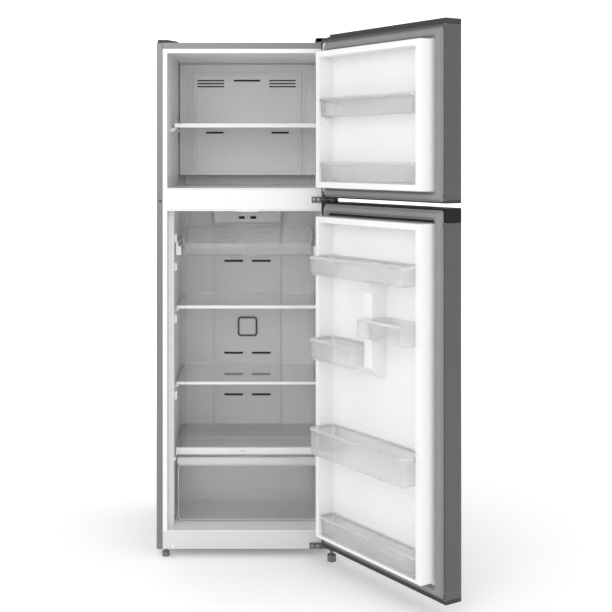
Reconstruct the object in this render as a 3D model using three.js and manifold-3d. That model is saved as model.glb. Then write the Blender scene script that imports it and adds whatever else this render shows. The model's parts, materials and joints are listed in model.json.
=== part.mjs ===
// Top freezer refrigerator with its doors standing open. Millimetres, +Z up, front towards -Y.
// The cabinet is drawn about its own centre line, with Y = 0 on the front flange and Z = 0 on the floor.
import * as THREE from 'three';
import { mergeVertices } from 'three/addons/utils/BufferGeometryUtils.js';
import Module from 'manifold-3d';

const wasm = await Module();
wasm.setup();

// Driving dimensions
const GAP = 0.3;
const SHEET = 1.5;
const WALL = 2;
const CABINET = { half: 272.5, depth: 545, bottom: 24, top: 1543 };
const FLANGE = 17.7;
const RIM = 254.5;
const OPENING = 241;
const FREEZER = { floor: 1106.5, ceiling: 1511.5, back: 470, backHalf: 228 };
const FRIDGE = { floor: 80, ceiling: 1038, back: 440, step: 57, stepHalf: 224, backHalf: 222 };
const HUMP = { front: 312, top: 280 };
const MACHINE = { front: 350, roof: 242 };
const ROLLER = { x: 235, y: 500, radius: 11.5, half: 10, tab: 12, axle: 3 };
const PIVOT = { x: 252.1, y: -37.6 };
const OPEN_ANGLE = THREE.MathUtils.degToRad(122.2);
const DOOR = { half: 272.5, outer: -72.5, inner: -12, corner: 12 };
const DYKE = { half: 232.5, wall: 17, height: 50 };
const FREEZER_DOOR = { bottom: 1079.7, top: 1559.4, bottomCap: 8, topCap: 14.8, dyke: [1111, 1507] };
const FRIDGE_DOOR = { bottom: 46.1, top: 1067.4, bottomCap: 10, topCap: 38, dyke: [93, 1026.5] };
const FREEZER_SILL = 17;
const FRIDGE_SILL = 9;
const DIVIDER = { x: [-31.4, 4.5], bottom: 590, top: 857 };
const GASKET = { hinge: 251, free: -264.5, inner: 234.5, thick: 11.3 };
const SHELF_FRONT = 108;
const TRAY = { half: 202, front: 110, back: 398, bottom: 893, top: 972, lipHalf: 212, lipTop: 927.5 };
const DRAWER = { half: 217, front: 88, back: 308, bottom: 82, top: 278 };
const TUB_WALL = 2.5;
const BIN_WALL = 2.2;
const BIN_CORNER = 14;
const REACH = { freezer: 55, fridge: 90, bottom: 52 };
const FAN = { x: 0, z: 1400, blades: 5 };
const DUCT = { half: 112, front: 430, bottom: 300, top: 980, slots: [850, 540, 400], tile: 630 };
const HOUSING = { half: 111, front: 400, bottom: 982 };
const GLAND = { x: -240, z: 45 };
const PIN = 4;
const LEFT = -211;
const RIGHT = 215;

// Materials
function finish(color, roughness, metalness = 0, opacity = 1) {
  return new THREE.MeshStandardMaterial({ color, roughness, metalness, opacity, transparent: opacity < 1 });
}
const steel = finish(0x868686, 0.42, 0.6);
const doorSteel = finish(0x5c5c5c, 0.38, 0.8);
const galvanised = finish(0xa8acae, 0.5, 0.7);
const white = finish(0xf0f1f1, 0.45);
const greyPlastic = finish(0x9a9a9a, 0.55);
const darkPlastic = finish(0x404040, 0.5);
const blackPlastic = finish(0x242424, 0.45);
const clear = finish(0xe8eff0, 0.1, 0, 0.3);
const glass = finish(0xdfeeea, 0.05, 0, 0.3);
const foam = finish(0xe8d9a8, 0.9);
const rubber = finish(0x969696, 0.7);
const chrome = finish(0xb8bbbd, 0.25, 1);
const copper = finish(0xb4b8ba, 0.4, 0.9);
const blackPaint = finish(0x1c1c1c, 0.4, 0.2);

// Solids
function toSolid(geometry) {
  geometry.deleteAttribute('normal');
  geometry.deleteAttribute('uv');
  const merged = mergeVertices(geometry, 1e-4);
  const mesh = new wasm.Mesh({
    numProp: 3,
    vertProperties: merged.attributes.position.array,
    triVerts: Uint32Array.from(merged.index.array),
  });
  return new wasm.Manifold(mesh);
}

function block([x0, x1], [y0, y1], [z0, z1]) {
  const box = new THREE.BoxGeometry(x1 - x0, y1 - y0, z1 - z0);
  box.translate((x0 + x1) / 2, (y0 + y1) / 2, (z0 + z1) / 2);
  return toSolid(box);
}

function polygon(points) {
  return new THREE.Shape(points.map(([a, b]) => new THREE.Vector2(a, b)));
}

// An outline in plan, raised from z0 to z1
function prism(outline, [z0, z1]) {
  const shape = Array.isArray(outline) ? polygon(outline) : outline;
  const body = new THREE.ExtrudeGeometry(shape, { depth: z1 - z0, bevelEnabled: false, curveSegments: 4 });
  body.translate(0, 0, z0);
  return toSolid(body);
}

// An outline of [y, z] points, drawn out along X
function rail(outline, [x0, x1]) {
  const body = new THREE.ExtrudeGeometry(polygon(outline), { depth: x1 - x0, bevelEnabled: false });
  body.rotateX(Math.PI / 2);
  body.rotateZ(Math.PI / 2);
  body.translate(x0, 0, 0);
  return toSolid(body);
}

// An outline of [x, z] points, drawn out along Y
function slab(outline, [y0, y1]) {
  const body = new THREE.ExtrudeGeometry(polygon(outline), { depth: y1 - y0, bevelEnabled: false });
  body.rotateX(Math.PI / 2);
  body.translate(0, y1, 0);
  return toSolid(body);
}

function rod(radius, [x, y], [z0, z1], sides = 24) {
  const body = new THREE.CylinderGeometry(radius, radius, z1 - z0, sides);
  body.rotateX(Math.PI / 2);
  body.translate(x, y, (z0 + z1) / 2);
  return toSolid(body);
}

function rodAlongX(radius, [x0, x1], [y, z], sides = 24) {
  const body = new THREE.CylinderGeometry(radius, radius, x1 - x0, sides);
  body.rotateZ(Math.PI / 2);
  body.translate((x0 + x1) / 2, y, z);
  return toSolid(body);
}

function rodAlongY(radius, [x, z], [y0, y1], sides = 24) {
  const body = new THREE.CylinderGeometry(radius, radius, y1 - y0, sides);
  body.translate(x, (y0 + y1) / 2, z);
  return toSolid(body);
}

function join(first, ...rest) {
  return rest.reduce((whole, piece) => whole.add(piece), first);
}

function cut(first, ...rest) {
  return rest.reduce((whole, piece) => whole.subtract(piece), first);
}

// Assembly groups: each door turns about its pivot, and is drawn in the closed position
const refrigerator = new THREE.Group();
const cabinet = new THREE.Group();
refrigerator.add(cabinet);

function doorGroup() {
  const hung = new THREE.Group();
  hung.position.set(PIVOT.x, PIVOT.y, 0);
  hung.rotation.z = OPEN_ANGLE;
  const closed = new THREE.Group();
  closed.position.set(-PIVOT.x, -PIVOT.y, 0);
  hung.add(closed);
  cabinet.add(hung);
  return closed;
}
const freezerDoor = doorGroup();
const fridgeDoor = doorGroup();

function addPart(group, name, solid, material) {
  const made = solid.getMesh();
  const geometry = new THREE.BufferGeometry();
  geometry.setAttribute('position', new THREE.BufferAttribute(made.vertProperties, 3));
  geometry.setIndex(new THREE.BufferAttribute(made.triVerts, 1));
  geometry.computeVertexNormals();
  const mesh = new THREE.Mesh(geometry, material);
  mesh.name = name;
  group.add(mesh);
}

// Interior spaces, each grown by a wall thickness for the liner's outside and the foam's inside
function freezerSpace(grow) {
  const back = FREEZER.back + grow;
  const outline = [
    [-OPENING - grow, -1], [OPENING + grow, -1],
    [FREEZER.backHalf + grow, back - 20], [FREEZER.backHalf - 20 + grow, back],
    [20 - FREEZER.backHalf - grow, back], [-FREEZER.backHalf - grow, back - 20],
  ];
  return prism(outline, [FREEZER.floor - grow, FREEZER.ceiling + grow]);
}

function fridgeSpace(grow) {
  const back = FRIDGE.back + grow;
  const side = [
    [OPENING + grow, -1], [239 + grow, 45 + grow], [FRIDGE.stepHalf + grow, FRIDGE.step + grow],
    [FRIDGE.backHalf + grow, back - 15], [FRIDGE.backHalf - 15 + grow, back],
  ];
  const mirrored = side.map(([x, y]) => [-x, y]).reverse();
  const room = prism([...side, ...mirrored], [FRIDGE.floor - grow, FRIDGE.ceiling + grow]);
  const hump = rail([
    [HUMP.front + grow, FRIDGE.floor - 10], [HUMP.front + grow, HUMP.top - 20 - grow],
    [HUMP.front + 20 + grow, HUMP.top - grow], [back + 10, HUMP.top - grow], [back + 10, FRIDGE.floor - 10],
  ], [-OPENING - 10, OPENING + 10]);
  return room.subtract(hump);
}

function buildShell() {
  const { half, depth, bottom, top } = CABINET;
  const edge = top - SHEET - GAP;
  for (const [name, s] of [['side_panel_left', -1], ['side_panel_right', 1]]) {
    const between = (a, b) => (s < 0 ? [-b, -a] : [a, b]);
    const sheet = block(between(half - SHEET, half), [0, depth], [bottom, edge]);
    const front = block(between(half - FLANGE, half - SHEET / 2), [0, SHEET], [bottom, edge]);
    addPart(cabinet, name, join(sheet, front), steel);
  }
  const lid = block([-half, half], [0, depth], [top - SHEET, top]);
  const lip = block([-RIM, RIM], [0, SHEET], [FREEZER.ceiling + 13.5, top - SHEET / 2]);
  addPart(cabinet, 'top_panel', join(lid, lip), steel);
  const inside = half - SHEET - GAP;
  const back = block([-inside, inside], [depth - SHEET, depth], [MACHINE.roof, edge]);
  addPart(cabinet, 'back_panel', back, galvanised);

  // The base plate bends up behind the food space and over the compressor bay
  const bay = MACHINE.front;
  const roof = MACHINE.roof;
  let plate = rail([
    [WALL + GAP, bottom], [depth, bottom], [depth, bottom + WALL], [bay, bottom + WALL],
    [bay, roof - WALL - GAP], [depth, roof - WALL - GAP], [depth, roof - GAP], [bay - WALL, roof - GAP],
    [bay - WALL, bottom + WALL], [WALL + GAP, bottom + WALL],
  ], [-inside, inside]);
  for (const s of [-1, 1]) {
    const centre = s * ROLLER.x;
    for (const side of [-1, 1]) {
      const tab = centre + side * ROLLER.tab;
      plate = plate.add(block([tab - 1, tab + 1], [ROLLER.y - 9, ROLLER.y + 9], [6, bottom + 1]));
    }
    const axle = [centre - ROLLER.tab, centre + ROLLER.tab];
    plate = plate.add(rodAlongX(ROLLER.axle, axle, [ROLLER.y, ROLLER.radius], 16));
  }
  addPart(cabinet, 'base_plate', plate, galvanised);
}

function buildFoam() {
  const inside = CABINET.half - SHEET - GAP;
  const filling = block(
    [-inside, inside], [WALL + GAP, CABINET.depth - SHEET - GAP],
    [CABINET.bottom + WALL + GAP, CABINET.top - SHEET - GAP],
  );
  const bay = block(
    [-inside - 1, inside + 1], [MACHINE.front - WALL - GAP, CABINET.depth],
    [0, MACHINE.roof],
  );
  const body = cut(filling, bay, freezerSpace(WALL + GAP), fridgeSpace(WALL + GAP));
  addPart(cabinet, 'cabinet_foam', body, foam);
}

function buildLiners() {
  const shell = (space, z0, z1) => {
    const ahead = block([-300, 300], [-5, 0], [0, CABINET.top]);
    return join(space(WALL).subtract(ahead), block([-RIM, RIM], [0, WALL], [z0, z1])).subtract(space(0));
  };
  let freezer = shell(freezerSpace, FREEZER.floor - 4, FREEZER.ceiling + 13.2);
  let fridge = shell(fridgeSpace, FRIDGE.floor - 4, FRIDGE.ceiling + 4);
  // Ledges on both side walls carry the shelves, each with a flat top and a slope below
  const ledge = (space, x, [y0, y1], [z0, z1]) => {
    const right = slab([[240, z0 - (240 - x) / 2], [x, z0], [x, z1], [240, z1]], [y0, y1]);
    return join(right, right.mirror([1, 0, 0])).intersect(space(WALL));
  };
  freezer = freezer.add(ledge(freezerSpace, 222, [130, 380], [1284, 1290.5]));
  for (const z of [722, 487]) {
    fridge = fridge.add(ledge(fridgeSpace, 213, [125, 400], [z + 2, z + 8.5]));
    fridge = fridge.add(ledge(fridgeSpace, 216.5, [84, 104], [z - 30, z - 8]));
  }
  fridge = fridge.add(ledge(fridgeSpace, 218.5, [62, 300], [275, 281]));
  fridge = fridge.add(ledge(fridgeSpace, 216.5, [84, 98], [940, 962]));
  fridge = fridge.add(ledge(fridgeSpace, 216.5, [84, 104], [852, 873]));
  addPart(cabinet, 'freezer_liner', freezer, white);
  addPart(cabinet, 'fridge_liner', fridge, white);
  const bar = block([-RIM, RIM], [0, WALL], [FRIDGE.ceiling + 4 + GAP, FREEZER.floor - 4 - GAP]);
  addPart(cabinet, 'mullion_cover', bar, white);
  let kick = block([-RIM, RIM], [0, WALL], [CABINET.bottom + 1, FRIDGE.floor - 4 - GAP]);
  for (const z of [31, 40]) {
    kick = kick.subtract(block([-RIM - 1, RIM + 1], [-1, 0.8], [z - 0.6, z + 0.6]));
  }
  addPart(cabinet, 'kick_plate', kick, white);
}

function buildCooling() {
  const base = block([-227, 227], [402, 404], [1140, 1510]);
  const panel = block([-180, 180], [396, 403], [1140, 1482]);
  let cover = join(base, panel);
  for (const [x0, x1] of [[-167, -78], [73, 161]]) {
    for (const z of [1455, 1445, 1435]) {
      cover = cover.subtract(block([x0, x1], [390, 410], [z - 2.2, z + 2.2]));
    }
  }
  cover = cover.subtract(block([-46, 42], [390, 410], [1452, 1458]));
  for (const [x0, x1] of [[-138, -80], [80, 138]]) {
    cover = cover.subtract(block([x0, x1], [390, 410], [1278, 1284.5]));
  }
  for (const x of [-196, -188, 188, 196]) {
    cover = cover.add(block([x - 2, x + 2], [399.5, 402.5], [1150, 1475]));
  }
  addPart(cabinet, 'evaporator_cover', cover, white);

  const pass = (z) => block([-160, 160], [436, 442], [z - 3, z + 3]);
  let coil = join(pass(1175), pass(1235), pass(1295));
  for (let x = -156; x <= 156; x += 24) {
    coil = coil.add(block([x - 0.6, x + 0.6], [415, 462], [1160, 1310]));
  }
  addPart(cabinet, 'evaporator', coil, copper);

  const fan = [FAN.x, FAN.z];
  const motor = join(rodAlongY(22, fan, [440, 469]), rodAlongY(3, fan, [416, 441], 12));
  addPart(cabinet, 'fan_motor', motor, blackPlastic);
  let rotor = cut(rodAlongY(14, fan, [418, 434]), rodAlongY(3.5, fan, [410, 440], 12));
  for (let i = 0; i < FAN.blades; i += 1) {
    const blade = new THREE.BoxGeometry(24, 2, 32);
    blade.rotateZ(0.6);
    blade.translate(0, 0, 28);
    blade.rotateY((i * 2 * Math.PI) / FAN.blades);
    blade.translate(FAN.x, 426, FAN.z);
    rotor = rotor.add(toSolid(blade));
  }
  addPart(cabinet, 'fan_rotor', rotor, greyPlastic);

  const { half, front, bottom, top } = DUCT;
  const wall = 3;
  let duct = block([-half, half], [front, FRIDGE.back - 0.5], [bottom, top]);
  const within = half - wall;
  duct = duct.subtract(block([-within, within], [front + wall, FRIDGE.back + 5], [bottom + wall, top - wall]));
  for (const z of DUCT.slots) {
    for (const [x0, x1] of [[-78, -15], [15, 78]]) {
      duct = duct.subtract(block([x0, x1], [425, 445], [z - 3.5, z + 3.5]));
    }
  }
  const tile = roundedTile(32, 10, [front - 5, front + 1], DUCT.tile);
  duct = duct.add(tile.subtract(roundedTile(25, 6, [front - 10, front - 2], DUCT.tile)));
  addPart(cabinet, 'duct_cover', duct, white);

  let housing = block([-HOUSING.half, HOUSING.half], [HOUSING.front, FRIDGE.back - 0.5],
    [HOUSING.bottom, FRIDGE.ceiling - GAP]);
  for (const s of [-1, 1]) {
    housing = housing.subtract(block(s < 0 ? [-29, -10] : [10, 29], [395, 430], [993, 1002]));
  }
  addPart(cabinet, 'control_housing', housing, white);
}

// A square tile with round corners that faces the front
function roundedTile(half, radius, [y0, y1], z) {
  const shape = new THREE.Shape();
  const k = half - radius;
  shape.absarc(k, k, radius, 0, Math.PI / 2);
  shape.absarc(-k, k, radius, Math.PI / 2, Math.PI);
  shape.absarc(-k, -k, radius, Math.PI, 1.5 * Math.PI);
  shape.absarc(k, -k, radius, 1.5 * Math.PI, 2 * Math.PI);
  const body = new THREE.ExtrudeGeometry(shape, { depth: y1 - y0, bevelEnabled: false, curveSegments: 3 });
  body.rotateX(Math.PI / 2);
  body.translate(0, y1, z);
  return toSolid(body);
}

// A glass plate with a moulded front trim that the plate is glued into
function buildShelf(name, half, back, [z0, z1]) {
  const front = SHELF_FRONT;
  const middle = z1 - 4.5;
  const pane = block([-half + 1, half - 1], [front + 4, back], [middle, z1 - 0.5]);
  addPart(cabinet, `${name}_glass`, pane, glass);
  const bar = block([-half, half], [front, front + 14], [z0, z1]);
  const slot = block([-half - 1, half + 1], [front + 4 - GAP, back], [middle - GAP, z1 + 1]);
  addPart(cabinet, `${name}_trim`, cut(bar, slot), white);
}

function buildShelves() {
  buildShelf('freezer_shelf', 226, 392, [1291, 1304]);
  buildShelf('upper_shelf', 220, 425, [731, 741]);
  buildShelf('lower_shelf', 220, 425, [496, 505]);
  const glassTop = block([-219, 219], [112, 425], [298, 302.5]);
  addPart(cabinet, 'crisper_shelf_glass', glassTop, glass);
  const half = 220.5;
  let trim = block([-half, half], [100, 114], [282, 303]);
  trim = cut(trim, block([-half - 1, half + 1], [112 - GAP, 420], [298 - GAP, 304]));
  trim = cut(trim, block([-23, -5], [99, 106], [290, 296]));
  addPart(cabinet, 'crisper_shelf_trim', trim, white);
}

// An open box of clear plastic with walls of equal thickness
function openBox([x0, x1], [y0, y1], [z0, z1], wall) {
  const outside = block([x0, x1], [y0, y1], [z0, z1]);
  return outside.subtract(block([x0 + wall, x1 - wall], [y0 + wall, y1 - wall], [z0 + wall, z1 + 1]));
}

function buildTrays() {
  const { half, front, back, bottom, top, lipHalf, lipTop } = TRAY;
  const lip = block([-lipHalf, lipHalf], [front + 2, back], [lipTop - TUB_WALL, lipTop]);
  const within = half - TUB_WALL;
  const hole = block([-within, within], [front + TUB_WALL, back - 0.5], [lipTop - 8, lipTop + 2]);
  const ahead = front - 10;
  const above = top + 28;
  const slope = front + 18;
  const lowFront = [[ahead, lipTop], [front + 2.6, lipTop], [slope, top], [slope, above], [ahead, above]];
  const low = rail(lowFront, [-lipHalf, lipHalf]);
  const box = openBox([-half, half], [front, back], [bottom, top], TUB_WALL);
  addPart(cabinet, 'chiller_tray', join(box.subtract(low), lip.subtract(hole)), clear);
  for (const [name, s] of [['chiller_rail_left', -1], ['chiller_rail_right', 1]]) {
    const between = (a, b) => (s < 0 ? [-b, -a] : [a, b]);
    const foot = block(between(205, 221.5), [98, 395], [897, lipTop - 3]);
    const web = block(between(214, 221.5), [98, 395], [920, 938]);
    addPart(cabinet, name, join(foot, web), white);
  }
  addDrawer();
}

function addDrawer() {
  const { half, front, back, bottom, top } = DRAWER;
  const drawer = openBox([-half, half], [front, back], [bottom, top], TUB_WALL);
  const bar = block([-half, half], [front - 8, front + 2], [top - 23, top]);
  const hollow = block([3 - half, half - 3], [front - 5.5, front + 3], [top - 28, top - 3]);
  addPart(cabinet, 'crisper_drawer', join(drawer, bar.subtract(hollow)), clear);
}

function buildMachineBay() {
  const profile = [[0, 0], [62, 0], [70, 12], [72, 60], [66, 105], [45, 135], [0, 146]];
  const floor = CABINET.bottom + WALL + GAP;
  const pot = new THREE.LatheGeometry(profile.map(([r, z]) => new THREE.Vector2(r, z)), 24);
  pot.rotateX(Math.PI / 2);
  pot.translate(110, 448, floor + 12);
  const plinth = block([40, 180], [410, 486], [floor, floor + 16]);
  addPart(cabinet, 'compressor', join(toSolid(pot), plinth), blackPaint);
  addPart(cabinet, 'drip_tray', openBox([-240, 10], [370, 520], [32, 62], 2.5), darkPlastic);

  let cover = block([-268, 268], [541, 543], [floor, MACHINE.roof - WALL - 2 * GAP]);
  for (let row = 0; row < 5; row += 1) {
    for (let column = 0; column < 4; column += 1) {
      const x = -215 + column * 120;
      const z = 70 + row * 32;
      cover = cover.subtract(block([x, x + 70], [535, 550], [z - 3, z + 3]));
    }
  }
  const bush = (radius, span) => rodAlongY(radius, [GLAND.x, GLAND.z], span, 16);
  addPart(cabinet, 'compressor_cover', cover.subtract(bush(10, [535, 550])), galvanised);
  const gland = join(bush(9.5, [535, 544.5]), bush(13, [536, 540.5]));
  addPart(cabinet, 'cord_gland', gland.subtract(bush(4, [530, 550])), blackPlastic);
}

function buildFeet() {
  const left = [-245.5, 14];
  const right = [PIVOT.x - 2, -32];
  const leftFoot = join(rod(11, left, [0, 14]), rod(5, left, [13, CABINET.bottom - GAP], 16));
  addPart(cabinet, 'foot_left', leftFoot, blackPlastic);
  const rightFoot = join(rod(13, right, [0, 20]), rod(5, right, [19, 37.7], 16));
  addPart(cabinet, 'foot_right', rightFoot, blackPlastic);
  for (const [name, s] of [['roller_left', -1], ['roller_right', 1]]) {
    const span = [s * ROLLER.x - ROLLER.half, s * ROLLER.x + ROLLER.half];
    const wheel = rodAlongX(ROLLER.radius, span, [ROLLER.y, ROLLER.radius], 32);
    const bore = rodAlongX(3.4, [span[0] - 1, span[1] + 1], [ROLLER.y, ROLLER.radius], 16);
    addPart(cabinet, name, cut(wheel, bore), blackPlastic);
  }
}

function buildHinges() {
  const { x, y } = PIVOT;
  const armHalf = 16;
  const top = CABINET.top + GAP;
  const arm = join(
    block([x - armHalf, x + armHalf], [y, 6], [1552, 1555]), rod(armHalf, [x, y], [1552, 1555]),
    block([x - armHalf, x + armHalf], [3, 6], [top, 1555]),
    block([x - 40, x + armHalf], [3, 70], [top, top + 3]),
    rod(PIN, [x, y], [1546, 1553], 16),
  );
  addPart(cabinet, 'top_hinge', arm, chrome);
  const shade = block([x - 46, x + 19], [8, 78], [top, 1558]);
  const hollow = block([x - 43, x + 16.5], [5, 75], [top - 1, 1555.5]);
  addPart(cabinet, 'top_hinge_cover', shade.subtract(hollow), darkPlastic);
  const cap = rail([[2, top], [62, top], [62, top + 5], [50, top + 8.5], [2, top + 8.5]], [-270, -208]);
  const slope = prism([[-240, 0], [-200, 0], [-200, 70], [-240, 70]], [top - 1, top + 12]);
  const ramp = slab([[-240, top - 1], [-207, top - 1], [-207, top + 2.5], [-240, top + 8.5]], [-5, 75]);
  addPart(cabinet, 'corner_cover_left', join(cap.subtract(slope), cap.intersect(ramp)), darkPlastic);

  const middle = join(
    block([192, 272], [-3, -GAP], [1062.6, 1081]), block([222, 270], [y + 2, -2], [1072, 1075]),
    rod(17.9, [x, y + 2], [1072, 1075]), rod(PIN, [x, y], [1061, 1086], 16),
  );
  addPart(cabinet, 'middle_hinge', middle, chrome);
  const bottom = join(
    block([186, 272], [-3, -GAP], [26, 44]), block([226, 270], [y + 2, -2], [38, 42]),
    rod(17.9, [x, y + 2], [38, 42]), rod(PIN, [x, y], [41, 54], 16),
  );
  addPart(cabinet, 'bottom_hinge', bottom, chrome);
}

// Plan of a door with its two outer corners rounded, inset by a thickness, running back to a given Y
function doorPlan(inset, back) {
  const half = DOOR.half - inset;
  const outer = DOOR.outer + inset;
  const radius = DOOR.corner - inset;
  const shape = new THREE.Shape();
  shape.moveTo(half, back);
  shape.lineTo(-half, back);
  shape.absarc(-half + radius, outer + radius, radius, Math.PI, 1.5 * Math.PI);
  shape.absarc(half - radius, outer + radius, radius, 1.5 * Math.PI, 2 * Math.PI);
  return shape;
}

function buildDoor(group, name, door) {
  const lower = door.bottom + door.bottomCap;
  const upper = door.top - door.topCap;
  const { x, y } = PIVOT;
  const sheet = 1.2;
  const skin = cut(prism(doorPlan(0, DOOR.inner), [lower + GAP, upper - GAP]),
    prism(doorPlan(sheet, DOOR.inner + 1), [lower, upper]));
  addPart(group, `${name}_skin`, skin, doorSteel);

  // The liner rises in a hollow dyke round the bins, filled from behind with foam
  const [d0, d1] = door.dyke;
  const dyke = (thinner, from) => cut(
    block([-DYKE.half + thinner, DYKE.half - thinner], [from, DOOR.inner + DYKE.height - thinner],
      [d0 + thinner, d1 - thinner]),
    block([LEFT - 0.5 - thinner, RIGHT + 0.5 + thinner], [from - 1, DOOR.inner + DYKE.height + 1],
      [d0 + door.sill - thinner, d1 - DYKE.wall + thinner]),
  );
  const span = [lower + GAP, upper - GAP];
  const core = prism(doorPlan(sheet + GAP, DOOR.inner - WALL - GAP), span);
  addPart(group, `${name}_foam`, join(core, dyke(WALL + GAP, DOOR.inner - 5)), foam);

  const plate = block([-DOOR.half + 2, DOOR.half - 2], [DOOR.inner - WALL, DOOR.inner], span);
  let liner = cut(join(plate, dyke(0, DOOR.inner - 1)), dyke(WALL, DOOR.inner - 5));
  for (const [z, x0, x1] of door.lugs) {
    liner = liner.add(block([x0, x1], [DOOR.inner - 1, DOOR.inner + 36], [z - 8, z - GAP]));
  }
  if (door.divider) {
    const { x: sides, bottom, top } = door.divider;
    const crest = DOOR.inner + DYKE.height;
    const root = DOOR.inner - 1;
    const lead = [[root, bottom], [crest - 8, bottom + 22], [crest, bottom + 32]];
    const shoulder = [[crest, top - 30], [crest - 26, top], [root, top]];
    liner = liner.add(rail([...lead, ...shoulder], sides));
  }
  addPart(group, `${name}_liner`, liner, white);

  const [g0, g1] = door.gasket;
  const seal = block([GASKET.free, GASKET.hinge], [DOOR.inner + GAP, DOOR.inner + GASKET.thick], [g0, g1]);
  const window = block([-GASKET.inner, GASKET.inner], [DOOR.inner - 18, 10], [d0 - 1.5, g1 - 26.5]);
  addPart(group, `${name}_gasket`, seal.subtract(window), rubber);

  const pinHole = (z0, z1) => rod(PIN + 0.5, [x, y], [z0, z1], 16);
  const foot = prism(doorPlan(0, DOOR.inner), [door.bottom, lower]);
  addPart(group, `${name}_bottom_cap`, foot.subtract(pinHole(door.bottom - 1, lower + 1)), darkPlastic);
  let head = prism(doorPlan(0, DOOR.inner), [upper, door.top]);
  head = cut(head, ...door.headCuts, pinHole(door.pinTop, door.top + 1));
  addPart(group, `${name}_top_cap`, head, door.topMaterial);
}

// Lugs on the inner faces of the dyke carry a bin at each end; the lowest bins stand on the dyke itself
function lugs(levels) {
  return levels.flatMap((z) => [[z, RIGHT - 6, RIGHT + 1], [z, LEFT - 1, LEFT + 6]]);
}

function buildDoors() {
  buildDoor(freezerDoor, 'freezer_door', {
    ...FREEZER_DOOR,
    sill: FREEZER_SILL,
    gasket: [1084, 1537],
    lugs: lugs([1315]),
    headCuts: [block([232, 280], [-80, 0], [1550, 1570])],
    pinTop: 1545.5,
    topMaterial: darkPlastic,
  });
  const grip = block([-205, 195], [-62, -30], [1044, 1070]);
  const [freeFace, hingeFace] = DIVIDER.x;
  buildDoor(fridgeDoor, 'fridge_door', {
    ...FRIDGE_DOOR,
    sill: FRIDGE_SILL,
    gasket: [60, 1061.5],
    lugs: [
      ...lugs([861, 343]),
      [618, RIGHT - 6, RIGHT + 1], [618, hingeFace - 0.5, hingeFace + 5.5],
      [708, LEFT - 1, LEFT + 6], [708, freeFace - 5.5, freeFace + 0.5],
    ],
    divider: DIVIDER,
    headCuts: [grip],
    pinTop: 1060,
    topMaterial: blackPlastic,
  });
}

// A bin hangs on the door between the dyke walls, with its back against the door liner. A notch leaves room
// for the divider, round which the bin's front reaches
function buildBin(group, name, [x0, x1], [z0, z1], reach, notch = () => []) {
  const back = DOOR.inner + 0.6;
  const front = DOOR.inner + reach;
  const plan = (inset) => {
    const shape = new THREE.Shape();
    shape.moveTo(x0 + inset, back + inset);
    shape.lineTo(x1 - inset, back + inset);
    shape.absarc(x1 - BIN_CORNER, front - BIN_CORNER, BIN_CORNER - inset, 0, Math.PI / 2);
    shape.absarc(x0 + BIN_CORNER, front - BIN_CORNER, BIN_CORNER - inset, Math.PI / 2, Math.PI);
    return shape;
  };
  const outside = cut(prism(plan(0), [z0, z1]), ...notch(0));
  const inside = cut(prism(plan(BIN_WALL), [z0 + BIN_WALL, z1 + 1]), ...notch(BIN_WALL));
  addPart(group, name, outside.subtract(inside), clear);
}

function buildBins() {
  const [freeFace, hingeFace] = DIVIDER.x;
  const full = [LEFT + 0.5, RIGHT - 0.5];
  const hingeHalf = [hingeFace + 0.7, RIGHT - 0.5];
  const freeHalf = [LEFT + 0.5, -6.2];
  const round = (grow) => [
    block([freeFace - 0.7 - grow, hingeFace], [DOOR.inner - 5, DOOR.inner + DYKE.height + 0.7 + grow],
      [DIVIDER.bottom, DIVIDER.top]),
  ];
  buildBin(freezerDoor, 'freezer_bin_upper', full, [1315, 1370], REACH.freezer);
  buildBin(freezerDoor, 'freezer_bin_lower', full, [1129, 1185], REACH.freezer);
  buildBin(fridgeDoor, 'fridge_bin_top', full, [861, 914], REACH.fridge);
  buildBin(fridgeDoor, 'fridge_bin_hinge_side', hingeHalf, [618, 678], REACH.fridge);
  buildBin(fridgeDoor, 'fridge_bin_free_side', freeHalf, [708, 761], REACH.fridge, round);
  buildBin(fridgeDoor, 'fridge_bin_bottles', full, [343, 421], REACH.fridge);
  buildBin(fridgeDoor, 'fridge_bin_bottom', full, [103, 160], REACH.bottom);
}

buildShell();
buildFoam();
buildLiners();
buildCooling();
buildShelves();
buildTrays();
buildMachineBay();
buildFeet();
buildHinges();
buildDoors();
buildBins();

// The origin is the middle of the footprint with the doors open, on the floor
refrigerator.updateMatrixWorld(true);
const extent = new THREE.Box3().setFromObject(refrigerator, true);
cabinet.position.set(-(extent.min.x + extent.max.x) / 2, -(extent.min.y + extent.max.y) / 2, -extent.min.z);

export default refrigerator;
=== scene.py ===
import json
import math

import bmesh
import bpy
from mathutils import Matrix, Vector

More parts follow.
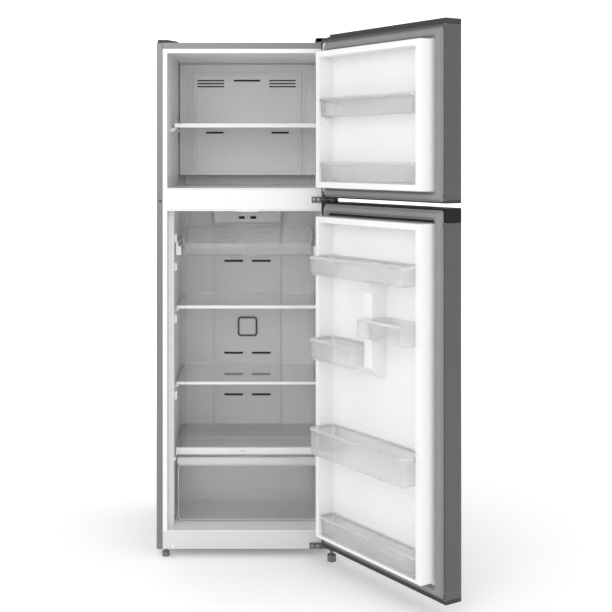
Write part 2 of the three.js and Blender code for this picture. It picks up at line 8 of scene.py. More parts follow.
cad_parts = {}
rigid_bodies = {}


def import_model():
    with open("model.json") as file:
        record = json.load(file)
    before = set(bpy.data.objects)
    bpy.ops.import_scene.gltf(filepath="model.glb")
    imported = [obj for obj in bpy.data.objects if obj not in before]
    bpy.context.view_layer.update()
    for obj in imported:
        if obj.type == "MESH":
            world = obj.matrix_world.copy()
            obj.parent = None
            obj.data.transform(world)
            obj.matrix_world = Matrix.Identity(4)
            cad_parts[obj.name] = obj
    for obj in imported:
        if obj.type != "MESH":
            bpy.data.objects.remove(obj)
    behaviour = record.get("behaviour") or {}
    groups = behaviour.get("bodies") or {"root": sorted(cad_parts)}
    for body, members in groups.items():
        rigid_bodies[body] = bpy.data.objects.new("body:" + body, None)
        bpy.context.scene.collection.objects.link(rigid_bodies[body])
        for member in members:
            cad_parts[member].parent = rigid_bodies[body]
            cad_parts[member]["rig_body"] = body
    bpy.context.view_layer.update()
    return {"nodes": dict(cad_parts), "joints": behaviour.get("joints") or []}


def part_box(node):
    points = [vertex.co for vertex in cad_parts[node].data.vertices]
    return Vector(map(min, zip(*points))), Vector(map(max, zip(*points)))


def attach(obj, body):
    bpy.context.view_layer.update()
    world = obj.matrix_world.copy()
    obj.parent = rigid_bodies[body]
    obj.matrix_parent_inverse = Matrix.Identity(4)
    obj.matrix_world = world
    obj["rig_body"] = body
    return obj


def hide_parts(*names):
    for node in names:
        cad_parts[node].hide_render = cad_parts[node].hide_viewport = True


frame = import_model()


# Camera and studio. The camera looks level at the open cabinet from the height of the freezer floor, with
# its lens shifted down to take in the feet. The floor runs up into a pale backdrop in one sweep, lit by three
# large soft lamps.
top_low, top_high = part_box("top_panel")
home = Vector(((top_low.x + top_high.x) / 2, top_low.y, 0))

lens = bpy.data.cameras.new("studio_camera")
lens.lens = 68.2
lens.shift_x = 0.0956
lens.shift_y = -0.2435
lens.clip_end = 60
camera = bpy.data.objects.new("studio_camera", lens)
distance, eye_height = 3.477, 1.2
camera.location = home + Vector((0, -distance, eye_height))
camera.rotation_euler = (math.radians(90), 0, 0)
bpy.context.scene.collection.objects.link(camera)
bpy.context.scene.camera = camera
bpy.context.scene.view_settings.view_transform = "Standard"


class Wire:
    """One output of a shader node. Python's operators on it add Math nodes."""

    def __init__(self, finish, socket):
        self.finish = finish
        self.socket = socket

    def math(self, operation, *values):
        return self.finish.node("ShaderNodeMath", {"operation": operation}, dict(enumerate(values)))

    def __add__(self, other):
        return self.math("ADD", self, other)

    def __sub__(self, other):
        return self.math("SUBTRACT", self, other)

    def __mul__(self, other):
        return self.math("MULTIPLY", self, other)

    def __rsub__(self, other):
        return self.math("SUBTRACT", other, self)

    def __gt__(self, other):
        return self.math("GREATER_THAN", self, other)

    def __abs__(self):
        return self.math("ABSOLUTE", self)

    __radd__ = __add__
    __rmul__ = __mul__


class Finish:
    """A material with one Principled shader, whose nodes all come from node()."""

    def __init__(self, name, **constants):
        self.material = bpy.data.materials.new(name)
        self.material.use_nodes = True
        self.tree = self.material.node_tree
        self.shader = next(n for n in self.tree.nodes if n.type == "BSDF_PRINCIPLED")
        for socket, value in constants.items():
            self.shader.inputs[socket.replace("_", " ").title().replace("Ior", "IOR")].default_value = value
        self.place = self.node("ShaderNodeTexCoord", {}, {}, "Object")

    def node(self, kind, settings, inputs, output=0):
        made = self.tree.nodes.new(kind)
        for name, value in settings.items():
            setattr(made, name, value)
        for name, value in inputs.items():
            if isinstance(value, Wire):
                self.tree.links.new(value.socket, made.inputs[name])
            else:
                made.inputs[name].default_value = value
        return Wire(self, made.outputs[output])

    def drive(self, name, wire):
        self.tree.links.new(wire.socket, self.shader.inputs[name])

    def noise(self, scale, stretch=(1, 1, 1), detail=3.0):
        along = self.node("ShaderNodeMapping", {}, {"Vector": self.place, "Scale": stretch})
        return self.node("ShaderNodeTexNoise", {}, {"Vector": along, "Scale": scale, "Detail": detail})

    def blend(self, factor, low, high):
        return self.node("ShaderNodeMix", {"data_type": "RGBA"}, {0: factor, 6: (*low, 1), 7: (*high, 1)}, 2)

    def bump(self, height, distance, strength=1.0):
        values = {"Height": height, "Distance": distance, "Strength": strength}
        self.drive("Normal", self.node("ShaderNodeBump", {}, values, "Normal"))


def paint(piece, finish):
    piece.data.materials.clear()
    piece.data.materials.append(finish.material)


def finished(bm, name, smooth_below=35):
    """The bmesh as a linked object, smooth except across its sharp edges."""
    for face in bm.faces:
        face.smooth = True
    for edge in bm.edges:
        edge.smooth = len(edge.link_faces) == 2 and edge.calc_face_angle(0) < math.radians(smooth_below)
    mesh = bpy.data.meshes.new(name)
    bm.to_mesh(mesh)
    bm.free()
    piece = bpy.data.objects.new(name, mesh)
    bpy.context.scene.collection.objects.link(piece)
    return piece


def backdrop():
    bm = bmesh.new()
    curve = ((-9, 0), (2, 0), (4, 0), (6, 0), (7.6, 0.4), (8.6, 2), (9, 9))
    sweep = [bm.verts.new((-9, y, z)) for y, z in curve]
    edges = [bm.edges.new(pair) for pair in zip(sweep, sweep[1:])]
    bmesh.ops.extrude_edge_only(bm, edges=edges)
    for vert in bm.verts[len(sweep):]:
        vert.co.x = 9
    bmesh.ops.recalc_face_normals(bm, faces=bm.faces)
    piece = finished(bm, "studio_sweep", 80)
    rounded = piece.modifiers.new("sweep", "SUBSURF")
    rounded.levels = rounded.render_levels = 3
    pale = Finish("studio_paper", base_color=(0.94, 0.94, 0.94, 1), roughness=0.85, emission_strength=0.12)
    pale.drive("Emission Color", pale.blend(pale.noise(0.5), (1.0, 1.0, 1.0), (0.97, 0.97, 0.97)))
    paint(piece, pale)


backdrop()

world = bpy.data.worlds.new("studio_air")
world.use_nodes = True
world.node_tree.nodes["Background"].inputs["Color"].default_value = (1, 1, 1, 1)
world.node_tree.nodes["Background"].inputs["Strength"].default_value = 0.95
bpy.context.scene.world = world


def softbox(name, place, aim, size, power):
    lamp = bpy.data.lights.new(name, "AREA")
    lamp.shape = "RECTANGLE"
    lamp.size, lamp.size_y = size
    lamp.energy = power
    holder = bpy.data.objects.new(name, lamp)
    holder.location = place
    holder.rotation_euler = (Vector(aim) - Vector(place)).to_track_quat("-Z", "Y").to_euler()
    bpy.context.scene.collection.objects.link(holder)


softbox("key_softbox", (-1.2, -3.8, 2.4), (-0.1, 0.1, 0.9), (2.2, 2.4), 40)
softbox("fill_softbox", (2.6, -3.2, 1.4), (0, 0, 0.7), (1.6, 2.4), 12)
softbox("back_softbox", (0, 3.0, 4.4), (0, 8.6, 1.5), (8.0, 2.0), 190)


# Painted shell. Each side is one steel sheet whose front edge is folded inwards as a flange, and the top
# sheet sits between them with the same fold. The sheets are sprayed silver-grey with a fine metallic flake.
def refine(node, finish, edge=0.0006, segments=2, name=None):
    """A welded copy of a CAD node with rolled edges, standing for it."""
    source = frame["nodes"][node]
    bm = bmesh.new()
    bm.from_mesh(source.data)
    bmesh.ops.remove_doubles(bm, verts=bm.verts, dist=0.00002)
    bmesh.ops.dissolve_limit(bm, angle_limit=math.radians(0.5), verts=bm.verts, edges=bm.edges)
    sharp = [e for e in bm.edges if len(e.link_faces) == 2 and e.calc_face_angle(0) > math.radians(35)]
    if edge:
        bmesh.ops.bevel(
            bm, geom=sharp, offset=edge, segments=segments, profile=0.5, affect="EDGES", material=-1,
            clamp_overlap=True,
        )
    piece = finished(bm, name or node + "_body")
    weighted = piece.modifiers.new("even_shading", "WEIGHTED_NORMAL")
    weighted.keep_sharp = True
    paint(piece, finish)
    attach(piece, source["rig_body"])
    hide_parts(node)
    return piece


def sprayed_steel():
    finish = Finish("sprayed_steel", metallic=0.55, coat_weight=0.25, coat_roughness=0.2)
    flake = finish.noise(2600, detail=1.0)
    cloud = finish.noise(3.0)
    shade = flake * 0.6 + cloud * 0.4
    finish.drive("Base Color", finish.blend(shade, (0.17, 0.17, 0.172), (0.23, 0.23, 0.233)))
    finish.drive("Roughness", cloud * 0.1 + 0.36)
    finish.bump(finish.noise(420, detail=2.0), 0.00004, 0.5)
    return finish


painted = sprayed_steel()
for node in ("side_panel_left", "side_panel_right", "top_panel"):
    refine(node, painted, 0.0007)


# Screws. Bright plated pan heads with a driving recess hold the sheets and the hinges. All the screws of one
# part of the cabinet are made as one piece.
def bright_plate():
    finish = Finish("bright_plate", metallic=1.0)
    streak = finish.noise(40, (1, 6, 6))
    finish.drive("Base Color", finish.blend(streak, (0.22, 0.22, 0.225), (0.4, 0.4, 0.405)))
    finish.drive("Roughness", streak * 0.15 + 0.2)
    return finish


plated = bright_plate()


def give(piece, finish, body, slot, *nodes):
    """Paints a new piece, hangs it on a body and lets it stand for CAD nodes."""
    paint(piece, finish)
    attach(piece, body)
    if nodes:
        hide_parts(*nodes)
    return piece


def screw_heads(name, places, facing, radius, height=0.0016, finish=plated, slot="hinge_metal"):
    """Pan heads at places (mm in the cabinet's own frame), standing out along facing."""
    bm = bmesh.new()
    turn = Vector(facing).to_track_quat("Z", "Y").to_matrix().to_4x4()
    for x, y, z in places:
        done = len(bm.verts)
        bmesh.ops.create_cone(
            bm, cap_ends=True, segments=24, radius1=radius, radius2=radius * 0.9, depth=height,
        )
        bm.verts.ensure_lookup_table()
        head = bm.verts[done:]
        crown = max({f for v in head for f in v.link_faces}, key=lambda f: f.calc_center_median().z)
        bmesh.ops.inset_region(bm, faces=[crown], thickness=radius * 0.45)
        bmesh.ops.translate(bm, verts=crown.verts, vec=(0, 0, height * 0.2))
        bmesh.ops.inset_region(bm, faces=[crown], thickness=radius * 0.06)
        bmesh.ops.translate(bm, verts=crown.verts, vec=(0, 0, -height * 0.8))
        bm.verts.ensure_lookup_table()
        spot = Matrix.Translation(home + Vector((x, y, z)) / 1000 + Vector(facing) * height / 2)
        bmesh.ops.transform(bm, matrix=spot @ turn, verts=bm.verts[done:])
    return give(finished(bm, name), finish, "cabinet", slot)


width = (top_high.x - top_low.x) * 1000
depth = (top_high.y - top_low.y) * 1000
# The back sheet's low heads are seated just under its outer face.
edge_margin, head_seat = 12, 0.52
heights = (280, 600, 930, 1260, 1520)
back_edge = [(s * (width / 2 - edge_margin), depth - head_seat, z) for s in (-1, 1) for z in heights]
to_back, to_front = (0, 1, 0), (0, -1, 0)
screw_heads("back_sheet_screws", back_edge, to_back, 0.0055, 0.0004)


# Back and machine bay. The back sheet, the base plate bent over the compressor bay and the slotted cover are
# plain galvanised steel with the coating's crystal spangle. The compressor is a black pot on a foot plate,
# and a moulded tray beside it catches the defrost water.
def zinc_sheet():
    finish = Finish("zinc_sheet", metallic=0.85)
    cells = finish.node("ShaderNodeTexVoronoi", {}, {"Vector": finish.place, "Scale": 90}, "Color")
    grey = finish.node("ShaderNodeRGBToBW", {}, {"Color": cells})
    cloud = finish.noise(6)
    finish.drive("Base Color", finish.blend(grey * 0.5 + cloud * 0.5, (0.42, 0.44, 0.45), (0.6, 0.62, 0.63)))
    finish.drive("Roughness", grey * 0.14 + 0.36)
    finish.bump(cloud, 0.0006, 0.3)
    return finish


def moulded(name, low, high, roughness, grain=900, depth=0.00005, coat=0.0, shine=0.5):
    """Moulded plastic: a fine spark-eroded grain, slight shade changes and soft shine."""
    finish = Finish(name, coat_weight=coat, coat_roughness=0.12, specular_ior_level=shine)
    cloud = finish.noise(7)
    finish.drive("Base Color", finish.blend(cloud, low, high))
    finish.drive("Roughness", cloud * 0.08 + roughness)
    finish.bump(finish.noise(grain, detail=2.0), depth, 0.6)
    return finish


zinc = zinc_sheet()
for node in ("back_panel", "base_plate", "compressor_cover"):
    refine(node, zinc, 0.0004)
charcoal = moulded("charcoal_plastic", (0.02, 0.02, 0.021), (0.028, 0.028, 0.029), 0.5)
satin_black = moulded("satin_black_plastic", (0.005, 0.005, 0.005), (0.008, 0.008, 0.008), 0.42, shine=0.2)
refine("drip_tray", charcoal)
refine("cord_gland", satin_black, 0.0005)
pot_enamel = moulded(
    "pot_enamel", (0.012, 0.012, 0.012), (0.02, 0.02, 0.021), 0.3, grain=300, depth=0.0001, coat=0.3,
)
refine("compressor", pot_enamel, 0.002, 3)


# Insulation. Rigid foam is blown between the shells. It only shows as a thin line at open edges, pale straw
# in colour and full of fine cells.
def rigid_foam():
    finish = Finish("rigid_foam", roughness=0.9)
    cells = finish.node("ShaderNodeTexVoronoi", {}, {"Vector": finish.place, "Scale": 1200}, "Distance")
    finish.drive("Base Color", finish.blend(cells, (0.72, 0.62, 0.4), (0.83, 0.75, 0.54)))
    finish.bump(cells, 0.0003, 0.6)
    return finish


cellular = rigid_foam()
paint(frame["nodes"]["cabinet_foam"], cellular)


# Food liners. Each compartment is one vacuum-formed white sheet with a flat rim that meets the painted
# flange, and ledges for the shelves down both side walls. A moulded bar and a kick plate close the gaps
# between them, and small plugs fill the spare screw holes.
def round_rect(bm, low, high, level, radius, axis, segments=5):
    """A closed ring of edges: a round-cornered rectangle from low to high, square to an axis, at a level."""
    grid = bmesh.ops.create_grid(bm, x_segments=1, y_segments=1, size=0.5)
    verts = grid["verts"]
    span = (high[0] - low[0], high[1] - low[1])
    bmesh.ops.scale(bm, vec=(span[0], span[1], 1), verts=verts)
    bmesh.ops.translate(bm, vec=((low[0] + high[0]) / 2, (low[1] + high[1]) / 2, 0), verts=verts)
    bmesh.ops.bevel(
        bm, geom=verts, offset=radius, segments=segments, profile=0.5, affect="VERTICES", material=-1,
    )
    *_, face = bm.faces
    ring = list(face.verts)
    edges = list(face.edges)
    bmesh.ops.delete(bm, geom=[face], context="FACES_ONLY")
    for vert in ring:
        u, v, _ = vert.co
        vert.co = (u, level, v) if axis == "Y" else (u, v, level)
    return edges


def loft(bm, rings, close=False, cap=False):
    """Walls between neighbouring rings; close joins the last ring to the first, cap fills the last one."""
    pairs = list(zip(rings, rings[1:] + rings[:1])) if close else list(zip(rings, rings[1:]))
    for one, other in pairs:
        bmesh.ops.bridge_loops(bm, edges=one + other)
    if cap:
        bmesh.ops.contextual_create(bm, geom=rings[-1])


def face_outwards(bm):
    bmesh.ops.recalc_face_normals(bm, faces=bm.faces)
    if bm.calc_volume(signed=True) < 0:
        bmesh.ops.reverse_faces(bm, faces=bm.faces)


def vacuum_white():
    finish = Finish("vacuum_formed_white", coat_weight=0.25, coat_roughness=0.15)
    cloud = finish.noise(2.5)
    finish.drive("Base Color", finish.blend(cloud, (0.80, 0.805, 0.81), (0.86, 0.862, 0.865)))
    finish.drive("Roughness", cloud * 0.08 + 0.3)
    ripple = finish.noise(28, detail=1.0)
    finish.bump(ripple, 0.0005, 0.25)
    return finish


white_sheet = vacuum_white()
white_plastic = moulded("moulded_white", (0.78, 0.785, 0.79), (0.84, 0.843, 0.845), 0.36)
for node in ("freezer_liner", "fridge_liner"):
    refine(node, white_sheet, 0.003, 3)
refine("mullion_cover", white_plastic, 0.0005)
# The kick plate's white is painted darker than the other white mouldings, as painted shade.
kick_plate_painted_shade = moulded("kick_plate_white_painted_shade", (0.62, 0.623, 0.627), (0.68, 0.683, 0.685), 0.42)
refine("kick_plate", kick_plate_painted_shade, 0.0005)
plug_height = 0.0008
plugs = [(-234, 0, 1068), (-196, 0, 1068), (-223, 0, 34)]
screw_heads("hole_plugs", plugs, to_front, 0.0042, plug_height, white_plastic, "white_plastic")
screw_heads("flange_plug", [(-262, 0, 1068)], to_front, 0.0038, plug_height, charcoal, "dark_plastic")


# Air system. A moulded panel with air slots stands in front of the finned coil and the fan at the back of the
# freezer. A duct cover with slots, ribs and a grey filter frame runs down the fridge's back wall under the
# control housing, and a milky lamp lens is clipped into the ceiling.
def bare_aluminium():
    finish = Finish("bare_aluminium", metallic=1.0)
    streak = finish.noise(60, (1, 8, 1))
    finish.drive("Base Color", finish.blend(streak, (0.62, 0.63, 0.64), (0.75, 0.76, 0.77)))
    finish.drive("Roughness", streak * 0.2 + 0.3)
    return finish


for node in ("evaporator_cover", "duct_cover", "control_housing"):
    refine(node, white_plastic, 0.0007)


def bar(bm, low, high, bevel):
    """A straight moulded bar with rolled edges, between two corners."""
    made = bmesh.ops.create_cube(bm, size=1)["verts"]
    bmesh.ops.scale(bm, vec=high - low, verts=made)
    bmesh.ops.translate(bm, vec=(low + high) / 2, verts=made)
    edges = list({e for v in made for e in v.link_edges})
    bmesh.ops.bevel(
        bm, geom=edges, offset=bevel, segments=2, profile=0.5, affect="EDGES", material=-1,
        clamp_overlap=True,
    )


plate_face = home.y + 0.396
rib_half, rib_foot, rib_head, rib_corner = 0.172, 1.150, 1.474, 0.022
bm = bmesh.new()
rings = []
for i, proud in ((0, -0.0005), (0.001, 0.0012), (0.0035, 0.0013), (0.0045, -0.0004)):
    low_corner = (home.x - rib_half + i, rib_foot + i)
    high_corner = (home.x + rib_half - i, rib_head - i)
    rings.append(round_rect(bm, low_corner, high_corner, plate_face - proud, rib_corner - i, "Y"))
loft(bm, rings, close=True)
face_outwards(bm)
give(finished(bm, "evaporator_cover_rib"), white_plastic, "cabinet", "white_plastic")

duct_low, duct_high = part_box("duct_cover")
duct_face = home.y + 0.430
bm = bmesh.new()
rib_count, rib_top, rib_pitch, rib_height, rib_margin = 12, 0.972, 0.0085, 0.002, 0.006
for row in range(rib_count):
    z = rib_top - row * rib_pitch
    rib_start = Vector((duct_low.x + rib_margin, duct_face - 0.0012, z))
    rib_end = Vector((duct_high.x - rib_margin, duct_face + 0.0004, z + rib_height))
    bar(bm, rib_start, rib_end, 0.0005)
give(finished(bm, "duct_ribs"), white_plastic, "cabinet", "white_plastic")

# Dark plates behind the duct cover's slots and the evaporator cover's slots are painted shadow, so that the
# slots read dark.
bm = bmesh.new()
shadow_plate_edge = 0.0005
duct_start = Vector((duct_low.x + 0.005, home.y + 0.4345, duct_low.z + 0.006))
duct_end = Vector((duct_high.x - 0.005, home.y + 0.4375, duct_high.z - 0.006))
bar(bm, duct_start, duct_end, shadow_plate_edge)
cover_low, cover_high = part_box("evaporator_cover")
cover_margin = 0.03
cover_start = Vector((cover_low.x + cover_margin, cover_high.y + 0.001, cover_low.z + cover_margin))
cover_end = Vector((cover_high.x - cover_margin, cover_high.y + 0.003, cover_high.z - cover_margin))
bar(bm, cover_start, cover_end, shadow_plate_edge)
give(finished(bm, "vent_painted_shadow_plates"), charcoal, "cabinet", "dark_plastic")

# Black inserts in the control housing's two slots are painted shade, so that the slots read dark.
bm = bmesh.new()
half_width, half_height, shade_insert_depth = 0.0094, 0.0044, 0.003
for side in (-1, 1):
    middle = home + Vector((side * 0.0195, 0.4025, 0.9975))
    shade_insert_start = middle - Vector((half_width, 0, half_height))
    shade_insert_end = middle + Vector((half_width, shade_insert_depth, half_height))
    bar(bm, shade_insert_start, shade_insert_end, 0.0004)
give(finished(bm, "housing_slot_painted_shade"), satin_black, "cabinet", "black_plastic")

ring_middle = home + Vector((0, 0.425, 0.630))
bm = bmesh.new()
profile = [
    (0.033, 0), (0.033, -0.0022), (0.0322, -0.003), (0.0278, -0.0031), (0.027, -0.0022), (0.027, -0.0001),
]
straight = 0.022
rings = []
for half, proud in profile:
    low_corner = (ring_middle.x - half, ring_middle.z - half)
    high_corner = (ring_middle.x + half, ring_middle.z + half)
    rings.append(round_rect(bm, low_corner, high_corner, ring_middle.y + proud, half - straight, "Y"))
loft(bm, rings, close=True)
face_outwards(bm)
ring_grey = moulded("ring_grey_plastic", (0.09, 0.09, 0.092), (0.12, 0.12, 0.122), 0.45)
give(finished(bm, "filter_ring"), ring_grey, "cabinet", "grey_plastic")

lamp_low = home + Vector((-0.04, 0.14, 1.0300))
lamp_high = home + Vector((0.04, 0.23, 1.0377))
lamp_corner = 0.014
bm = bmesh.new()
steps = [(0.012, 0), (0.004, 0.0006), (0.001, 0.003), (0, 0.0077)]
rings = []
for i, up in steps:
    low_corner = (lamp_low.x + i, lamp_low.y + i)
    high_corner = (lamp_high.x - i, lamp_high.y - i)
    rings.append(round_rect(bm, low_corner, high_corner, lamp_low.z + up, lamp_corner - i, "Z"))
loft(bm, rings, cap=True)
bmesh.ops.contextual_create(bm, geom=rings[0])
face_outwards(bm)
lamp_milk = Finish("lamp_milk", base_color=(0.9, 0.9, 0.88, 1), emission_strength=1.2)
glow = lamp_milk.noise(60)
lamp_milk.drive("Roughness", glow * 0.1 + 0.3)
lamp_milk.drive("Emission Color", lamp_milk.blend(glow, (0.9, 0.93, 1.0), (1.0, 1.0, 1.0)))
give(finished(bm, "lamp_lens"), lamp_milk, "cabinet", "white_plastic")

refine("evaporator", bare_aluminium(), 0)
refine("fan_motor", satin_black, 0.001)
grey_plastic = moulded("fan_grey_plastic", (0.3, 0.3, 0.31), (0.36, 0.36, 0.37), 0.45)
refine("fan_rotor", grey_plastic, 0.0004)


# Shelves. Each is a plate of toughened float glass with ground edges that show green. The plate is glued into
# a moulded white trim along its front, and rests on the liner's ledges.
def float_glass():
    finish = Finish("float_glass", roughness=0.02, ior=1.5, transmission_weight=1.0)
    facing = finish.node("ShaderNodeNewGeometry", {}, {}, "Normal")
    upright = finish.node("ShaderNodeSeparateXYZ", {}, {"Vector": facing}, "Z")
    ground = 1 - (abs(upright) > 0.6)
    finish.drive("Base Color", finish.blend(ground, (0.985, 0.995, 0.99), (0.45, 0.72, 0.64)))
    finish.drive("Roughness", ground * 0.25 + 0.02)
    return finish


shelf_glass = float_glass()
for shelf in ("freezer_shelf", "upper_shelf", "lower_shelf", "crisper_shelf"):
    refine(shelf + "_glass", shelf_glass, 0.0006)
    refine(shelf + "_trim", white_plastic, 0.0012, 3)


# Trays and drawer. They are clear injection-moulded polystyrene with draft on the walls and a rolled rim. The
# chiller tray has a low front and ribbed sides, and hangs by its lips on two white rails. The crisper has a
# frosted grip rail and a frosted bead round its front.
def clear_polystyrene():
    finish = Finish("clear_polystyrene", ior=1.35, transmission_weight=0.9)
    wave = finish.noise(18, detail=1.0)
    finish.drive("Base Color", finish.blend(wave, (0.97, 0.975, 0.98), (0.99, 0.993, 0.995)))
    finish.drive("Roughness", wave * 0.03 + 0.03)
    finish.drive("Alpha", wave * 0.1 + 0.42)
    finish.bump(wave, 0.0004, 0.12)
    return finish


crystal = clear_polystyrene()
for node in ("chiller_rail_left", "chiller_rail_right"):
    refine(node, white_plastic, 0.001, 3)


def open_tub(bm, low, high, radius, draft, wall, rim):
    """A moulded tub: drafted walls, round corners and a rolled rim that stands out round the top."""
    def ring(inset, z):
        inner = max(radius - inset, 0.002)
        return round_rect(bm, (low.x + inset, low.y + inset), (high.x - inset, high.y - inset), z, inner, "Z")

    outside = [ring(draft + 0.003, low.z), ring(draft, low.z + 0.003), ring(rim, high.z - 0.008)]
    lip = [ring(0, high.z - 0.007), ring(0, high.z - 0.001), ring(0.001, high.z)]
    inside = [
        ring(rim + wall - 0.0005, high.z), ring(rim + wall, high.z - 0.001),
        ring(draft + wall, low.z + wall + 0.003), ring(draft + wall + 0.003, low.z + wall),
    ]
    loft(bm, outside + lip + inside, cap=True)
    bmesh.ops.contextual_create(bm, geom=outside[0])
    face_outwards(bm)


def frosted_polystyrene():
    finish = Finish("frosted_polystyrene", ior=1.4, transmission_weight=0.5)
    haze = finish.noise(900, detail=1.0)
    finish.drive("Base Color", finish.blend(haze, (0.88, 0.89, 0.895), (0.95, 0.955, 0.96)))
    finish.drive("Roughness", haze * 0.15 + 0.35)
    return finish


frosted = frosted_polystyrene()


def bead(bm, low, high, radius, level, tall, thick):
    """A rounded bead that runs round a rectangle in plan."""
    outer_side = [(0, -tall), (-0.0004, -tall * 0.7), (-0.0004, -tall * 0.3), (0, 0)]
    inner_side = [(thick, 0.0001), (thick, -tall + 0.0001)]
    rings = []
    for i, up in outer_side + inner_side:
        corner = max(radius - i, 0.001)
        low_corner = (low.x + i, low.y + i)
        high_corner = (high.x - i, high.y - i)
        rings.append(round_rect(bm, low_corner, high_corner, level + up, corner, "Z"))
    loft(bm, rings, close=True)
    face_outwards(bm)


low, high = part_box("chiller_tray")
lip_width, lip_top, lip_thickness = 0.010, 0.9275, 0.0024
lip = Vector((lip_width, 0, 0))
bm = bmesh.new()
open_tub(bm, low + lip, high - lip, radius=0.010, draft=0.003, wall=0.0022, rim=0.0014)
slope_foot = home + Vector((0, 0.1126, lip_top))
slope = Vector((0, 0.0154, 0.0445)).cross(Vector((1, 0, 0)))
whole_tub = [*bm.verts, *bm.edges, *bm.faces]
cut = bmesh.ops.bisect_plane(
    bm, geom=whole_tub, plane_co=slope_foot, plane_no=slope, clear_inner=True,
)
bmesh.ops.contextual_create(bm, geom=[e for e in cut["geom_cut"] if isinstance(e, bmesh.types.BMEdge)])
face_outwards(bm)
for low_x, high_x in ((low.x, low.x + lip_width + 0.002), (high.x - lip_width - 0.002, high.x)):
    lip_start = Vector((low_x, low.y + 0.003, lip_top - lip_thickness))
    lip_end = Vector((high_x, high.y - 0.001, lip_top))
    bar(bm, lip_start, lip_end, 0.0006)
rib_count, rib_pitch, rib_thickness, rib_width = 7, 0.036, 0.0018, 0.0016
for row in range(rib_count):
    y = low.y + 0.05 + row * rib_pitch
    for x in (low.x + lip_width + 0.0006, high.x - lip_width - 0.0016):
        rib_start = Vector((x, y, lip_top + 0.002))
        rib_end = Vector((x + rib_thickness, y + rib_width, high.z - 0.009))
        bar(bm, rib_start, rib_end, 0.0004)
give(finished(bm, "chiller_tray_tub"), crystal, "chiller_tray", "clear_plastic", "chiller_tray")

drawer_low, drawer_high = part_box("crisper_drawer")
grip_depth, grip_height = 0.008, 0.024
front = drawer_low.y + grip_depth
tub_low = drawer_low + Vector((0, grip_depth, 0))
bm = bmesh.new()
open_tub(bm, tub_low, drawer_high, radius=0.010, draft=0.0024, wall=0.0024, rim=0.002)
give(finished(bm, "crisper_drawer_tub"), crystal, "crisper_drawer", "clear_plastic", "crisper_drawer")

bm = bmesh.new()
grip_bottom = drawer_high.z - grip_height
grip_margin, grip_corner = 0.002, 0.0016
steps = [(0.004, 0), (0.0008, 0.002), (0, 0.006), (0, 0.019), (0.0008, 0.022), (0.003, 0.0235)]
rings = []
for i, up in steps:
    low_corner = (drawer_low.x + grip_margin + i, drawer_low.y + i)
    high_corner = (drawer_high.x - grip_margin - i, front - 0.0003)
    rings.append(round_rect(bm, low_corner, high_corner, grip_bottom + up, grip_corner, "Z", 2))
loft(bm, rings, cap=True)
bmesh.ops.contextual_create(bm, geom=rings[0])
face_outwards(bm)
give(finished(bm, "crisper_grip"), frosted, "crisper_drawer", "clear_plastic")

margin, bead_corner = 0.003, 0.010
bm = bmesh.new()
rings = []
for i, proud in ((0, -0.0006), (0.0004, 0.0012), (0.0022, 0.0013), (0.0026, -0.0005)):
    low_corner = (drawer_low.x + margin + i, drawer_low.z + margin + i)
    high_corner = (drawer_high.x - margin - i, grip_bottom - 0.001 - i)
    rings.append(round_rect(bm, low_corner, high_corner, front - proud, bead_corner - i, "Y"))
loft(bm, rings, close=True)
face_outwards(bm)
give(finished(bm, "crisper_front_bead"), frosted, "crisper_drawer", "clear_plastic")


# Feet and rollers. Levelling feet of grey nylon screw in at the front, and plain black rollers on steel axles
# carry the back.
nylon = moulded("grey_nylon", (0.12, 0.12, 0.122), (0.17, 0.17, 0.172), 0.38)
for node in ("foot_left", "foot_right"):
    refine(node, nylon, 0.0012, 3)
for node in ("roller_left", "roller_right"):
    refine(node, satin_black, 0.0012, 3)


# Hinges. Each is pressed steel with a dark zinc plate, a welded pin and two bright screws. A dark moulded
# cover hides the top one, with its twin on the left corner.
dark_plate = Finish("dark_zinc_plate", metallic=1.0)
tarnish = dark_plate.noise(40, (1, 6, 6))
dark_plate.drive("Base Color", dark_plate.blend(tarnish, (0.09, 0.09, 0.093), (0.2, 0.2, 0.204)))
dark_plate.drive("Roughness", tarnish * 0.15 + 0.3)
for node in ("top_hinge", "middle_hinge", "bottom_hinge"):
    refine(node, dark_plate, 0.0005)
for node in ("top_hinge_cover", "corner_cover_left"):
    refine(node, charcoal, 0.0015, 3)
plate_front, big_head, big_height = -3, 0.0052, 0.0024
middle_screws = [(x, plate_front, 1072) for x in (200, 214)]
bottom_screws = [(x, plate_front, 35) for x in (194, 210)]
screw_heads("middle_hinge_screws", middle_screws, to_front, big_head, big_height)
screw_heads("bottom_hinge_screws", bottom_screws, to_front, big_head, big_height)
screw_heads("flange_screw", [(-263, 0, 33)], to_front, 0.0042, 0.0014)


# Doors. Each is a pressed steel skin with brushed hairlines and a folded hem, foam, a white liner with a
# raised dyke round the bins, plastic end caps and a grey bellows gasket with a magnet in it.
def brushed_steel():
    finish = Finish("brushed_dark_steel", metallic=0.9, coat_weight=0.15, coat_roughness=0.25)
    hairs = finish.noise(1.0, (6, 6, 2400), 4.0)
    broad = finish.noise(1.0, (1.5, 1.5, 220), 3.0)
    tone = hairs * 0.65 + broad * 0.35
    finish.drive("Base Color", finish.blend(tone, (0.075, 0.076, 0.078), (0.16, 0.161, 0.165)))
    finish.drive("Roughness", tone * 0.2 + 0.28)
    finish.bump(hairs, 0.00006, 0.5)
    return finish


def soft_rubber():
    finish = Finish("soft_grey_rubber", sheen_weight=0.15)
    cloud = finish.noise(30)
    finish.drive("Base Color", finish.blend(cloud, (0.21, 0.21, 0.214), (0.26, 0.26, 0.264)))
    finish.drive("Roughness", cloud * 0.1 + 0.6)
    finish.bump(finish.noise(500, detail=1.0), 0.0001, 0.3)
    return finish


hinge = next(j for j in frame["joints"] if j["name"] == "fridge_door_hinge")
pivot = Vector(hinge["pos_m"])
swing = math.radians(-hinge["range_deg"][0])
to_closed = Matrix.Translation(pivot) @ Matrix.Rotation(-swing, 4, "Z") @ Matrix.Translation(-pivot)
to_open = to_closed.inverted()


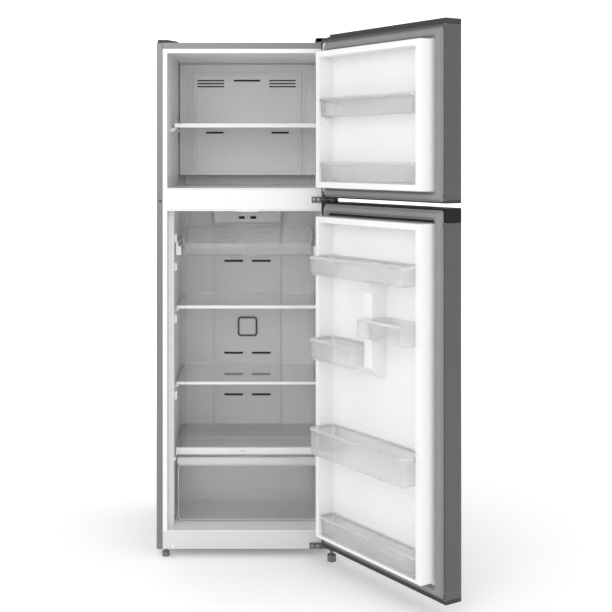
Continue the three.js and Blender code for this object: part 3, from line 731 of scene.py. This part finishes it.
def closed_box(node):
    """The box of a door's node with the door shut."""
    points = [to_closed @ v.co for v in frame["nodes"][node].data.vertices]
    axes = list(zip(*points))
    return Vector(map(min, axes)), Vector(map(max, axes))


def door_frame(bm, outer, inner, profile):
    """A closed ring of moulding between two rectangles. Each line of profile is a share of the way in, and a
    depth."""
    rings = []
    for share, y in profile:
        low = [a + (b - a) * share for a, b in zip(outer[0], inner[0])]
        high = [a + (b - a) * share for a, b in zip(outer[1], inner[1])]
        rings.append(round_rect(bm, low, high, y, 0.006 + 0.004 * share, "Y", 4))
    loft(bm, rings, close=True)
    face_outwards(bm)
    bmesh.ops.transform(bm, matrix=to_open, verts=bm.verts)


brushed = brushed_steel()
rubber = soft_rubber()
bellows = [
    (0.0, 0.0), (0.02, 0.0028), (0.07, 0.0036), (0.11, 0.002), (0.15, 0.0036), (0.2, 0.0046), (0.24, 0.009),
    (0.3, 0.0109), (0.7, 0.0107), (0.76, 0.009), (0.8, 0.0046), (0.85, 0.0036), (0.89, 0.002), (0.93, 0.0036),
    (0.98, 0.0028), (1.0, 0.0001),
]
hem = [(0.0, 0.0), (0.02, 0.0007), (0.12, 0.001), (0.8, 0.0011), (0.95, 0.0007), (1.0, 0.0001)]
cap_edge = 0.001
for door in ("freezer_door", "fridge_door"):
    refine(door + "_skin", brushed, 0.0003)
    paint(frame["nodes"][door + "_foam"], cellular)
    refine(door + "_liner", white_sheet, 0.004, 3)
    seal_low, seal_high = closed_box(door + "_gasket")
    bm = bmesh.new()
    outer = ((seal_low.x, seal_low.z), (seal_high.x, seal_high.z))
    inner = ((seal_low.x + 0.030, seal_low.z + 0.024), (seal_high.x - 0.0165, seal_high.z - 0.0265))
    door_frame(bm, outer, inner, [(share, seal_low.y + up) for share, up in bellows])
    give(finished(bm, door + "_gasket_bellows"), rubber, door, "door_seal", door + "_gasket")
    skin_low, skin_high = closed_box(door + "_skin")
    bm = bmesh.new()
    outer = ((skin_low.x + 0.0006, skin_low.z), (skin_high.x - 0.0006, skin_high.z))
    inner = ((skin_low.x + 0.0072, skin_low.z + 0.007), (skin_high.x - 0.0072, skin_high.z - 0.007))
    door_frame(bm, outer, inner, [(share, skin_high.y + 0.0001 + up) for share, up in hem])
    give(finished(bm, door + "_hem"), brushed, door, "brushed_dark_steel")
    refine(door + "_bottom_cap", charcoal, cap_edge)
refine("freezer_door_top_cap", charcoal, cap_edge)
refine("fridge_door_top_cap", satin_black, cap_edge)


# Door bins. They are clear moulded tubs with a frosted rim, and rest on lugs between the walls of the dyke.
# The one beside the divider is notched, so that its front reaches round it.
refine("fridge_bin_free_side", crystal, 0.0008, 2, "fridge_bin_free_side_tub")
low, high = closed_box("fridge_bin_free_side")
edge_low = Vector((low.x + 0.014, high.y - 0.0016, high.z - 0.0065))
edge_high = Vector((high.x - 0.014, high.y + 0.0004, high.z + 0.0002))
bm = bmesh.new()
bar(bm, edge_low, edge_high, 0.0005)
bmesh.ops.transform(bm, matrix=to_open, verts=bm.verts)
give(finished(bm, "fridge_bin_free_side_rim"), frosted, "fridge_bin_free_side", "clear_plastic")

bin_corner = 0.014
rim_inset = Vector((0.0004, 0.0004, 0))
for node in [n for n in frame["nodes"] if "_bin_" in n and n != "fridge_bin_free_side"]:
    low, high = closed_box(node)
    bm = bmesh.new()
    open_tub(bm, low, high, radius=bin_corner, draft=0.004, wall=0.002, rim=0.0018)
    bmesh.ops.transform(bm, matrix=to_open, verts=bm.verts)
    give(finished(bm, node + "_tub"), crystal, node, "clear_plastic", node)
    bm = bmesh.new()
    rim_level = high.z - 0.0002
    bead(bm, low + rim_inset, high - rim_inset, bin_corner, rim_level, tall=0.0065, thick=0.0014)
    bmesh.ops.transform(bm, matrix=to_open, verts=bm.verts)
    give(finished(bm, node + "_rim"), frosted, node, "clear_plastic")
